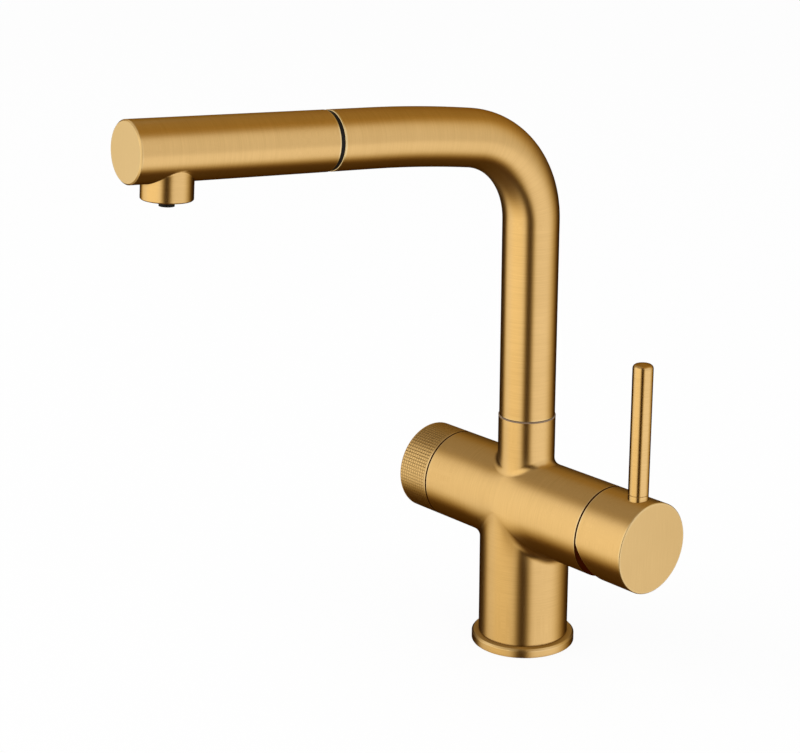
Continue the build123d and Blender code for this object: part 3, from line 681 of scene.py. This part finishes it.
def knurl_point(skin, tooth, row):
    """One point of the knurl: four sloping sides and a small flat top."""
    step = 2 * math.pi / KNURL_COUNT
    pitch = (KNOB_HIGH - KNURL_END - KNOB_LOW - KNURL_LIP) / KNURL_ROWS
    middle = ((tooth + 0.5) * step, KNOB_LOW + KNURL_LIP + (row + 0.5) * pitch)

    def corner(u, v, radius):
        angle, out = middle[0] + u * step / 2, middle[1] + v * pitch / 2
        return Vector((-out, radius * math.cos(angle), radius * math.sin(angle)))

    around = ((-1, -1), (1, -1), (1, 1), (-1, 1))
    foot = [corner(u, v, BODY_R - KNURL_DEPTH) for u, v in around]
    top = [corner(u * KNURL_FLAT, v * KNURL_FLAT, BODY_R) for u, v in around]
    across = Vector((1, 0, 0))
    outward = Vector((0, math.cos(middle[0]), math.sin(middle[0])))
    skin.facet(top, across)
    for k in range(4):
        corners = [foot[k], foot[(k + 1) % 4], top[(k + 1) % 4], top[k]]
        skin.facet(corners, across, outward * KNURL_SOFT)


def make_knob():
    root_r = BODY_R - KNURL_DEPTH
    band_low, band_high = KNOB_LOW + KNURL_LIP, KNOB_HIGH - KNURL_END
    skin = Skin()
    turned(skin, straight(AXIS_MINUS_X), outline([
        (0, KNOB_HUB_LOW), (KNOB_HUB_R, KNOB_HUB_LOW), (KNOB_HUB_R, KNOB_FLOOR),
        (KNOB_BORE_R, KNOB_FLOOR), (KNOB_BORE_R, KNOB_LOW), (BODY_R, KNOB_LOW, EDGE),
        (BODY_R, band_low), (root_r, band_low)]), edge_highlight=0.3, joint=True)
    turned(skin, straight(AXIS_MINUS_X), outline([
        (root_r, band_high), (BODY_R, band_high), (BODY_R, KNOB_HIGH - KNOB_CHAMFER, EDGE),
        (BODY_R - KNOB_CHAMFER, KNOB_HIGH, EDGE), (0, KNOB_HIGH)]), end=0.0, edge_highlight=0.0)
    for tooth in range(KNURL_COUNT):
        for row in range(KNURL_ROWS):
            knurl_point(skin, tooth, row)
    return skin.make("knurled_knob", Matrix.Translation((0, 0, CROSS_Z)))


def hose_payout(s):
    """How far a point of the hose has moved when the spray is fully out."""
    share = min(max((s - (TUBE_END + HOSE_END - HOSE_STRETCH)) / HOSE_STRETCH, 0.0), 1.0)
    return PULL * share * share * (3 - 2 * share)


def make_hose(name, radius, low, high):
    """A hose along the spout, whose last stretch crosses from the spout to the spray."""
    end = TUBE_END + HOSE_END
    stretch = end - HOSE_STRETCH
    stations = [low + (stretch - low) * k / HOSE_ROWS for k in range(HOSE_ROWS)]
    stations += [stretch + HOSE_STRETCH * k / STRETCH_ROWS for k in range(STRETCH_ROWS + 1)]
    if high > end:
        stations.append(high)
    skin = Skin()
    rows = []
    for angle in turn_angles(HOSE_TURN):
        out = Vector((math.cos(angle), math.sin(angle), 0))
        row = []
        for s in stations:
            place = spout_frame(s)
            spin = place.to_3x3()
            grain = Vector((s + hose_payout(s), angle / (2 * math.pi), 0))
            row.append(skin.put(place @ (out * radius), spin @ out, spin.col[2], grain))
        rows.append(row)
    skin.weave(rows, closed=True)
    obj = skin.make(name)
    spout_frame(stretch).translation
    spout_frame(end).translation
    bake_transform(obj)
    return obj


def make_braided_hose():
    return make_hose("braided_hose", HOSE_R, HOSE_LOW, TUBE_END + HOSE_END)


def make_filtered_hose():
    return make_hose("filtered_water_tube", FILTERED_R, FILTERED_LOW, TUBE_END + FILTERED_END)


# ---------------------------------------------------------------- materials
class Nodes:
    """A short way to write a node tree."""

    def __init__(self, tree):
        self.tree = tree

    def add(self, kind, **settings):
        node = self.tree.nodes.new(kind)
        for key, value in settings.items():
            setattr(node, key, value)
        return node

    def link(self, value, socket):
        if isinstance(value, bpy.types.NodeSocket):
            self.tree.links.new(value, socket)
        else:
            socket.default_value = value

    def maths(self, operation, a, b=0.0):
        node = self.add("ShaderNodeMath", operation=operation)
        self.link(a, node.inputs[0])
        self.link(b, node.inputs[1])
        return node.outputs[0]

    def smooth(self, value, low, high, start=0.0, end=1.0):
        """start below low, end above high and a smooth change in between."""
        node = self.add("ShaderNodeMapRange", interpolation_type="SMOOTHSTEP")
        sockets = ("Value", "From Min", "From Max", "To Min", "To Max")
        for socket, given in zip(sockets, (value, low, high, start, end)):
            self.link(given, node.inputs[socket])
        return node.outputs[0]

    def attribute(self, name, output="Vector"):
        return self.add("ShaderNodeAttribute", attribute_name=name).outputs[output]

    def stretched(self, vector, scale):
        node = self.add("ShaderNodeVectorMath", operation="MULTIPLY")
        self.link(vector, node.inputs[0])
        self.link(scale, node.inputs[1])
        return node.outputs[0]

    def joined(self, *values):
        node = self.add("ShaderNodeCombineXYZ")
        for value, socket in zip(values, node.inputs):
            self.link(value, socket)
        return node.outputs[0]

    def swapped(self, vector):
        """(x, y, z) as (z, x, y)."""
        apart = self.add("ShaderNodeSeparateXYZ")
        self.link(vector, apart.inputs[0])
        x, y, z = apart.outputs
        return self.joined(z, x, y)

    def noise(self, vector, scale=1.0, detail=2.0):
        node = self.add("ShaderNodeTexNoise")
        self.link(vector, node.inputs["Vector"])
        self.link(scale, node.inputs["Scale"])
        self.link(detail, node.inputs["Detail"])
        return node.outputs["Fac"]

    def mixed(self, kind, first, result, share, a, b):
        """A mix node, whose sockets for this kind of value are first, the next one and result."""
        node = self.add("ShaderNodeMix", data_type=kind)
        self.link(share, node.inputs[0])
        self.link(a, node.inputs[first])
        self.link(b, node.inputs[first + 1])
        return node.outputs[result]

    def mix(self, share, a, b):
        return self.mixed("FLOAT", 2, 0, share, a, b)

    def colour(self, share, a, b):
        return self.mixed("RGBA", 6, 2, share, a, b)

    def bump(self, height, distance):
        node = self.add("ShaderNodeBump")
        self.link(height, node.inputs["Height"])
        self.link(distance, node.inputs["Distance"])
        return node.outputs[0]

    def seen(self):
        """1 for a ray from the camera, a mirrored ray or one through glass, and 0 for the rest."""
        path = self.add("ShaderNodeLightPath")
        seen = self.maths("MAXIMUM", path.outputs["Is Camera Ray"], path.outputs["Is Glossy Ray"])
        return self.maths("MAXIMUM", seen, path.outputs["Is Transmission Ray"])


def new_material(name):
    """A material, its nodes and its shader."""
    material = bpy.data.materials.new(name)
    material.use_nodes = True
    return material, Nodes(material.node_tree), material.node_tree.nodes["Principled BSDF"]


def bare_material(name):
    """A material without a shader, its nodes, and the socket that its surface goes into."""
    material, n, shader = new_material(name)
    material.node_tree.nodes.remove(shader)
    return material, n, material.node_tree.nodes["Material Output"].inputs["Surface"]


def rgb(red, green, blue):
    """Linear colour from the 0 to 255 values it shows as."""
    def linear(value):
        value /= 255
        return value / 12.92 if value <= 0.04045 else ((value + 0.055) / 1.055) ** 2.4
    return (linear(red), linear(green), linear(blue), 1.0)


GOLD_LIGHT = rgb(237, 197, 132)
GOLD_DEEP = rgb(225, 185, 121)
# Painted highlight on the broken edges and the flat ends.
GOLD_EDGE_HIGHLIGHT = rgb(250, 224, 172)
GOLD_RIM = rgb(190, 150, 95)    # tint of the metal where it is seen edge-on
GOLD_JOINT_SHADE = rgb(52, 20, 3)     # painted shade inside the joints
GOLD_SHADE = rgb(138, 92, 40)   # painted shade in the creases and between the knurls
SHADE_REACH = 3.0 * MM
SHADE_OPENNESS = (0.1, 0.75)    # openness of a crease where its painted shade is darkest, and where it is plain gold
JOINT_SHADE_EDGE = (1.3, 1.8)         # values of the attribute edge between which a joint turns to its painted shade
TONES = (0.3, 0.7)              # part of the noise that a surface's change of tone uses
FINE_LINES = (4200.0, 70.0, 3.0)    # noise across the brushed lines, along them, and its detail
STREAKS = (1500.0, 45.0, 2.0)
CLOUDS = 35.0
STREAK_SHARE = 0.35
CLOUD_SHARE = 0.25
LINE_DEPTH = 0.002 * MM
GOLD_ROUGHNESS = 0.32
LEVER_ROUGHNESS = 0.26
GOLD_ROUGHNESS_SWING = 0.03
ANISOTROPY = 0.65

PLAIN_ROUGHNESS_SWING = 0.06
PLAIN_CLOUDS = 8                # a plain finish's clouds are this many times coarser than its grain
BRAID_PITCH = 5.2 * MM          # distance between neighbouring strands, along the hose
BRAID_STRANDS = 8               # of each family, round the hose
BRAID_DEPTH = 0.25 * MM
BRAID_GAP = rgb(14, 14, 15)
BRAID_FIRST = rgb(44, 44, 46)
BRAID_SECOND = rgb(58, 58, 60)


def make_gold(name, roughness):
    """Brushed gold. The fine lines run round each tube, and straight down the flat ends. Broken edges
    and flat ends get a painted highlight, creases and knurl gaps painted shade, and joints a darker
    painted shade.
    """
    material, n, shader = new_material(name)
    grain = n.attribute("grain")
    share = n.attribute("branch", "Fac")

    def lines(across, along, detail):
        run = n.noise(n.stretched(grain, (across, along, along)), detail=detail)
        branch = n.noise(n.stretched(n.swapped(grain), (across, along, along)), detail=detail)
        return n.mix(share, run, branch)

    fine = lines(*FINE_LINES)
    streak = lines(*STREAKS)
    cloud = n.noise(grain, CLOUDS)
    tone = n.mix(CLOUD_SHARE, n.mix(STREAK_SHARE, fine, streak), cloud)
    gold = n.colour(n.smooth(tone, *TONES), GOLD_DEEP, GOLD_LIGHT)
    edge = n.attribute("edge", "Fac")
    # Painted highlight: broken edges and flat ends turn paler.
    gold = n.colour(n.smooth(edge, 0.0, 1.0), gold, GOLD_EDGE_HIGHLIGHT)
    # Painted shade in the creases and between the knurls, darker where less of the surroundings is
    # open.
    openness = n.add("ShaderNodeAmbientOcclusion", samples=6)
    openness.inputs["Distance"].default_value = SHADE_REACH
    gold = n.colour(n.smooth(openness.outputs["AO"], *SHADE_OPENNESS), GOLD_SHADE, gold)
    # Painted shade inside the joints.
    gold = n.colour(n.smooth(edge, *JOINT_SHADE_EDGE), gold, GOLD_JOINT_SHADE)
    n.link(gold, shader.inputs["Base Color"])
    shader.inputs["Metallic"].default_value = 1.0
    swing = GOLD_ROUGHNESS_SWING
    n.link(n.mix(tone, roughness + swing, roughness - swing), shader.inputs["Roughness"])
    shader.inputs["Anisotropic"].default_value = ANISOTROPY
    shader.inputs["Specular Tint"].default_value = GOLD_RIM
    tangent = n.add("ShaderNodeVectorTransform", vector_type="VECTOR")
    tangent.convert_from = "OBJECT"
    tangent.convert_to = "WORLD"
    n.link(n.attribute("across"), tangent.inputs[0])
    n.link(tangent.outputs[0], shader.inputs["Tangent"])
    n.link(n.bump(fine, LINE_DEPTH), shader.inputs["Normal"])
    return material


def make_plain(name, light, dark, roughness, grain_scale, bump, metallic=0.0, specular=0.5):
    """A plain finish with a slight change of tone and a fine surface."""
    material, n, shader = new_material(name)
    place = n.add("ShaderNodeTexCoord").outputs["Object"]
    cloud = n.noise(place, grain_scale / PLAIN_CLOUDS, 3.0)
    fine = n.noise(place, grain_scale)
    n.link(n.colour(n.smooth(cloud, *TONES), dark, light), shader.inputs["Base Color"])
    shader.inputs["Metallic"].default_value = metallic
    shader.inputs["Specular IOR Level"].default_value = specular
    swing = PLAIN_ROUGHNESS_SWING
    n.link(n.mix(fine, roughness - swing, roughness + swing), shader.inputs["Roughness"])
    n.link(n.bump(fine, bump), shader.inputs["Normal"])
    return material


def make_braid():
    """Two families of nylon strands that cross. Where they do, the higher one shows its own grey."""
    material, n, shader = new_material("hose_braid")
    apart = n.add("ShaderNodeSeparateXYZ")
    n.link(n.attribute("grain"), apart.inputs[0])
    along = n.maths("MULTIPLY", apart.outputs[0], 2 * math.pi / BRAID_PITCH)
    turn = n.maths("MULTIPLY", apart.outputs[1], 2 * math.pi * BRAID_STRANDS)
    waves = [n.maths("SINE", n.maths(sign, along, turn)) for sign in ("ADD", "SUBTRACT")]
    height = n.maths("MAXIMUM", waves[0], waves[1])
    first_on_top = n.maths("GREATER_THAN", waves[0], waves[1])
    grey = n.colour(first_on_top, BRAID_SECOND, BRAID_FIRST)
    n.link(n.colour(n.smooth(height, -0.4, 0.9), BRAID_GAP, grey), shader.inputs["Base Color"])
    n.link(n.smooth(height, -0.5, 1.0, 0.8, 0.5), shader.inputs["Roughness"])
    n.link(n.bump(height, BRAID_DEPTH), shader.inputs["Normal"])
    return material


# name: light tone, dark tone, roughness, grain per metre, depth of the grain, and other settings
PLAIN_FINISHES = {
    "brass_inner": (rgb(222, 190, 118), rgb(198, 160, 88), 0.32, 900, 0.01 * MM, {"metallic": 1.0}),
    "black_plastic": (rgb(24, 21, 19), rgb(15, 13, 12), 0.5, 1500, 0.02 * MM, {"specular": 0.15}),
    "nylon": (rgb(150, 126, 102), rgb(132, 108, 86), 0.42, 1200, 0.01 * MM, {}),
    "rubber": (rgb(44, 44, 45), rgb(30, 30, 31), 0.75, 1500, 0.03 * MM, {}),
    "ceramic": (rgb(240, 238, 232), rgb(228, 225, 217), 0.18, 600, 0.003 * MM, {}),
    "steel": (rgb(205, 205, 207), rgb(178, 178, 181), 0.3, 900, 0.01 * MM, {"metallic": 1.0}),
    "copper": (rgb(214, 140, 104), rgb(178, 104, 72), 0.28, 500, 0.01 * MM, {"metallic": 1.0}),
    "white_plastic": (rgb(232, 231, 226), rgb(218, 216, 210), 0.4, 1200, 0.01 * MM, {}),
}


def make_materials():
    """The material of every slot."""
    made = {name: make_plain(name, *values, **more) for name, (*values, more) in PLAIN_FINISHES.items()}
    made["brushed_gold"] = make_gold("brushed_gold", GOLD_ROUGHNESS)
    made["hose_braid"] = make_braid()
    return made


# ---------------------------------------------------------------- studio
MIDDLE = Vector((0, 0, 0.15))    # what the lamps aim at
SKY_LIGHT = 0.75
FLOOR_SIZE = 8
FLOOR_WHITE = 0.93               # share of the floor that is plain white to the camera
FLOOR_GREY = (0.9, 0.9, 0.9, 1.0)
LAMP_SIZE = 1.6
LAMPS = (("key", (-0.9, -1.6, 1.9), 22), ("fill", (1.8, 0.3, 1.2), 9))    # name, place and watts

# What the metal mirrors. A pair of colours is for the left and the right of the camera. Heights
# and bearings are in degrees, and a bearing of 0 is the camera's, with the right positive. A band
# gives where one colour starts to give way to the next, and where it has.
SHELL_R = 1.1
SHELL_AT = (0, -0.05, 0.15)
WALL = ((1.06, 1.06, 1.06), (0.86, 0.85, 0.84))
TABLE = ((1.04, 1.04, 1.04), (1.06, 1.06, 1.08))
CEILING = ((0.38, 0.33, 0.25), (0.38, 0.26, 0.08))
WARM_WALL = (1.17, 1.11, 0.93, 1)
UNDER_TABLE = (0.08, 0.04, 0.01, 1)
CAMERA_STRIP = (0.03, 0.012, 0.0, 1)
BACK_HIGH = ((0.38, 0.33, 0.25), (0.36, 0.25, 0.08))
BACK_WALL = (0.38, 0.33, 0.25, 1)
BACK_TABLE = (0.03, 0.015, 0.005, 1)
BACK_LOW = (0.09, 0.055, 0.018, 1)
SIDE_BAND = (-15, 15)            # of bearing, from left to right
WALL_BAND = (-9, 1)              # of height, from table to wall
CEILING_BAND = (34, 56)          # from wall to ceiling
CEILING_SHIFT = (0, -10)         # added to the height for the ceiling, left and right
UNDER_BAND = (-58, -24)          # from what is under the table to the table
UNDER_SHIFT = (-2, 9)            # added to the height for it, left and right
BACK_HIGH_BAND = (10, 35)        # behind: from the wall up
BACK_WALL_BAND = (2, 24)         # from the table to the wall
BACK_LOW_BAND = (-46, -26)       # and from low down to the table
WARM_BEARING = 58                # middle of the warm wall, to the left
WARM_BAND = (15, 40)             # of distance from that middle
STRIP_BEARING = 3                # middle of the dark strip, to the left
STRIP_BAND = (6, 27)             # of distance from that middle
RIGHT_END = (70, 140)            # of bearing, where the light fades into what is behind
LEFT_END = (-130, -104)          # and where it comes out of it
FADE_POWERS = (0.2, 0.9)         # powers of the fade by which green and blue lose more than red


def make_world():
    """White to the camera and in reflections, and a soft even light on everything else."""
    world = bpy.data.worlds.new("studio")
    bpy.context.scene.world = world
    world.use_nodes = True
    n = Nodes(world.node_tree)
    shader = world.node_tree.nodes["Background"]
    shader.inputs["Color"].default_value = (1.0, 1.0, 1.0, 1.0)
    n.link(n.mix(n.seen(), SKY_LIGHT, 1.0), shader.inputs["Strength"])


def make_floor():
    """Pale floor, white to the camera apart from a soft shadow."""
    bpy.ops.mesh.primitive_grid_add(x_subdivisions=2, y_subdivisions=2, size=FLOOR_SIZE)
    floor = bpy.context.object
    floor.name = "floor"
    material, n, surface = bare_material("floor")
    matt = n.add("ShaderNodeBsdfDiffuse")
    matt.inputs["Color"].default_value = FLOOR_GREY
    white = n.add("ShaderNodeEmission")
    blend = n.add("ShaderNodeMixShader")
    n.link(n.maths("MULTIPLY", n.seen(), FLOOR_WHITE), blend.inputs[0])
    n.link(matt.outputs[0], blend.inputs[1])
    n.link(white.outputs[0], blend.inputs[2])
    n.link(blend.outputs[0], surface)
    floor.data.materials.append(material)
    floor.visible_glossy = False


def directions(n):
    """Height above the horizon and bearing from the camera's side of each ray, in degrees."""
    way = n.add("ShaderNodeVectorMath", operation="NORMALIZE")
    n.link(n.add("ShaderNodeTexCoord").outputs["Object"], way.inputs[0])

    def towards(vector):
        node = n.add("ShaderNodeVectorMath", operation="DOT_PRODUCT")
        n.link(way.outputs[0], node.inputs[0])
        n.link(vector, node.inputs[1])
        return node.outputs["Value"]

    degrees = 180 / math.pi
    front = towards((math.sin(CAMERA_AZIMUTH), -math.cos(CAMERA_AZIMUTH), 0))
    right = towards((math.cos(CAMERA_AZIMUTH), math.sin(CAMERA_AZIMUTH), 0))
    height = n.maths("MULTIPLY", n.maths("ARCSINE", towards((0, 0, 1))), degrees)
    bearing = n.maths("MULTIPLY", n.maths("ARCTAN2", right, front), degrees)
    return height, bearing


def surroundings_light(n):
    """Colour of the surroundings in each direction."""
    height, bearing = directions(n)
    right_side = n.smooth(bearing, *SIDE_BAND)

    def sides(left, right):
        return n.colour(right_side, (*left, 1), (*right, 1))

    def shifted(shift):
        return n.maths("ADD", height, n.smooth(bearing, *SIDE_BAND, *shift))

    def away(middle):
        """Degrees between the ray's bearing and a bearing to the left of the camera."""
        return n.maths("ABSOLUTE", n.maths("ADD", bearing, middle))

    def fade(share, dark):
        """The light so far, fading to dark as share falls to 0, the blue first."""
        green, blue = (n.maths("POWER", share, power) for power in FADE_POWERS)
        return n.colour(share, dark, n.stretched(light, n.joined(1.0, green, blue)))

    light = n.colour(n.smooth(height, *WALL_BAND), sides(*TABLE), sides(*WALL))
    light = n.colour(n.smooth(away(WARM_BEARING), *WARM_BAND, 1.0, 0.0), light, WARM_WALL)
    light = n.colour(n.smooth(shifted(CEILING_SHIFT), *CEILING_BAND), light, sides(*CEILING))
    light = fade(n.smooth(shifted(UNDER_SHIFT), *UNDER_BAND), UNDER_TABLE)
    back = n.colour(n.smooth(height, *BACK_HIGH_BAND), BACK_WALL, sides(*BACK_HIGH))
    back = n.colour(n.smooth(height, *BACK_WALL_BAND), BACK_TABLE, back)
    back = n.colour(n.smooth(height, *BACK_LOW_BAND), BACK_LOW, back)
    light = fade(n.smooth(bearing, *RIGHT_END, 1.0, 0.0), back)
    light = fade(n.smooth(bearing, *LEFT_END), back)
    return fade(n.smooth(away(STRIP_BEARING), *STRIP_BAND), CAMERA_STRIP)


def make_surroundings():
    """What the metal mirrors: white walls and table, a dark strip at the camera, dark brown
    overhead, under the table's edge and behind. Only mirrored rays see it."""
    bpy.ops.mesh.primitive_uv_sphere_add(segments=48, ring_count=24, radius=SHELL_R, location=SHELL_AT)
    shell = bpy.context.object
    shell.name = "surroundings"
    material, n, surface = bare_material("surroundings")
    glow = n.add("ShaderNodeEmission")
    n.link(surroundings_light(n), glow.inputs["Color"])
    n.link(glow.outputs[0], surface)
    shell.data.materials.append(material)
    for ray in ("camera", "diffuse", "shadow", "transmission", "volume_scatter"):
        setattr(shell, "visible_" + ray, False)


def make_lamp(name, place, power):
    lamp = bpy.data.lights.new(name, "AREA")
    lamp.energy = power
    lamp.size = LAMP_SIZE
    obj = bpy.data.objects.new(name, lamp)
    bpy.context.scene.collection.objects.link(obj)
    obj.location = place
    obj.rotation_euler = (MIDDLE - obj.location).to_track_quat("-Z", "Y").to_euler()
    obj.visible_glossy = False


def make_camera():
    """The photograph's camera."""
    back = Vector((
        math.sin(CAMERA_AZIMUTH) * math.cos(CAMERA_ELEVATION),
        -math.cos(CAMERA_AZIMUTH) * math.cos(CAMERA_ELEVATION), math.sin(CAMERA_ELEVATION)))
    right = Vector((math.cos(CAMERA_AZIMUTH), math.sin(CAMERA_AZIMUTH), 0))
    camera = bpy.data.objects.new("camera", bpy.data.cameras.new("camera"))
    bpy.context.scene.collection.objects.link(camera)
    camera.location = Vector((0, 0, AIM_HEIGHT)) + right * AIM_SIDE + back * CAMERA_DISTANCE
    look = (-back).to_track_quat("-Z", "Y").to_matrix() @ Matrix.Rotation(CAMERA_ROLL, 3, "Z")
    camera.rotation_euler = look.to_euler()
    camera.data.sensor_width = SENSOR
    camera.data.lens = FOCAL_PIXELS * SENSOR / PHOTO_WIDTH
    bpy.context.scene.camera = camera


# ---------------------------------------------------------------- assembly
materials = make_materials()
lever_gold = make_gold("lever_gold", LEVER_ROUGHNESS)

slots = {part["node"]: part["material_slot"] for part in frame["record"]["subparts"]}
for name, obj in frame["nodes"].items():
    obj.data.materials.clear()
    obj.data.materials.append(materials[slots[name]])
    obj.data.polygons.foreach_set("use_smooth", [True] * len(obj.data.polygons))
    obj.data.set_sharp_from_angle(angle=SPLIT_ANGLE)
    obj.visible_glossy = False

# Builder, the CAD node that its piece takes the place of, and the body that the piece rides on.
# The hoses have no body.
dressed = (
    (make_casting, "tap_body", "tap_base"),
    (make_base_ring, "base_ring", "tap_base"),
    (make_washer, "swivel_washer", "tap_base"),
    (make_spout, "spout_tube", "spout"),
    (make_dock, "dock_collar", "spout"),
    (make_spray, "spray_shell", "spray"),
    (make_handle, "handle_cap", "handle"),
    (make_lever, "handle_lever", "handle"),
    (make_knob, "filter_knob", "filter_valve"),
    (make_braided_hose, "pull_hose", None),
    (make_filtered_hose, "filtered_hose", None),
)
for build, node, body in dressed:
    piece = build()
    piece.data.materials.append(lever_gold if node == "handle_lever" else materials[slots[node]])
    if body:
        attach(piece, body)
    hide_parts(node)
    piece.visible_glossy = False

make_world()
make_floor()
make_surroundings()
for name, place, power in LAMPS:
    make_lamp(name, place, power)
make_camera()
bpy.context.scene.view_settings.view_transform = "Standard"
